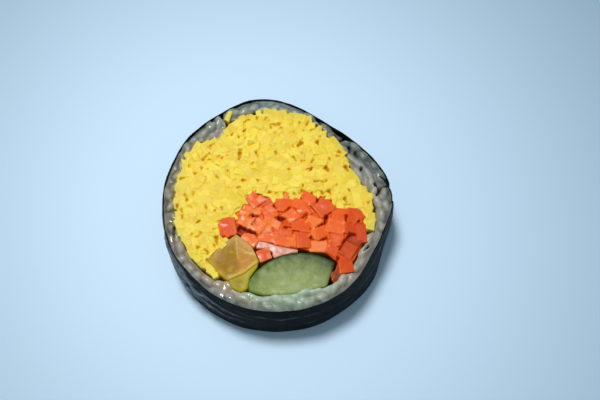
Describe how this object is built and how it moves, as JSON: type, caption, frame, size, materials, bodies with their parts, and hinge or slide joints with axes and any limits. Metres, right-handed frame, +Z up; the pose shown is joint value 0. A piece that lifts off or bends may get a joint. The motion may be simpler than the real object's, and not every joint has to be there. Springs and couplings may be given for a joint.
{
  "type": "gimbap slice",
  "caption": "Round slice of gimbap: seaweed and rice rolled round shredded egg, carrot sticks, pickled radish, ham and cucumber.",
  "frame": {"origin": "middle of the slice's box, on the surface that it lies on", "axes": "+Z up, along the roll's axis from the lower cut face to the upper one; the cucumber is on the -Y side, the sheet's flap on the +X side"},
  "size_m": [0.0518, 0.0514, 0.0122],
  "materials": {
    "seaweed": "roasted seaweed, near black with a dull sheen",
    "rice": "moist cooked rice, grey white and slightly see-through",
    "egg": "fried egg cut to fine shreds, bright yellow",
    "carrot": "cooked carrot sticks, bright orange and moist",
    "radish": "pickled radish, tan yellow, wet",
    "cucumber": "cucumber flesh, pale green under a dark green skin",
    "ham": "sliced ham, pink"
  },
  "bodies": {
    "root": {"seaweed_sheet": "seaweed", "rice_bed": "rice", "egg_shreds": "egg", "carrot_sticks": "carrot", "carrot_stick_lone": "carrot", "radish_strip": "radish", "radish_wedge": "radish", "cucumber_strip": "cucumber", "ham_sliver": "ham"}
  },
  "joints": []
}
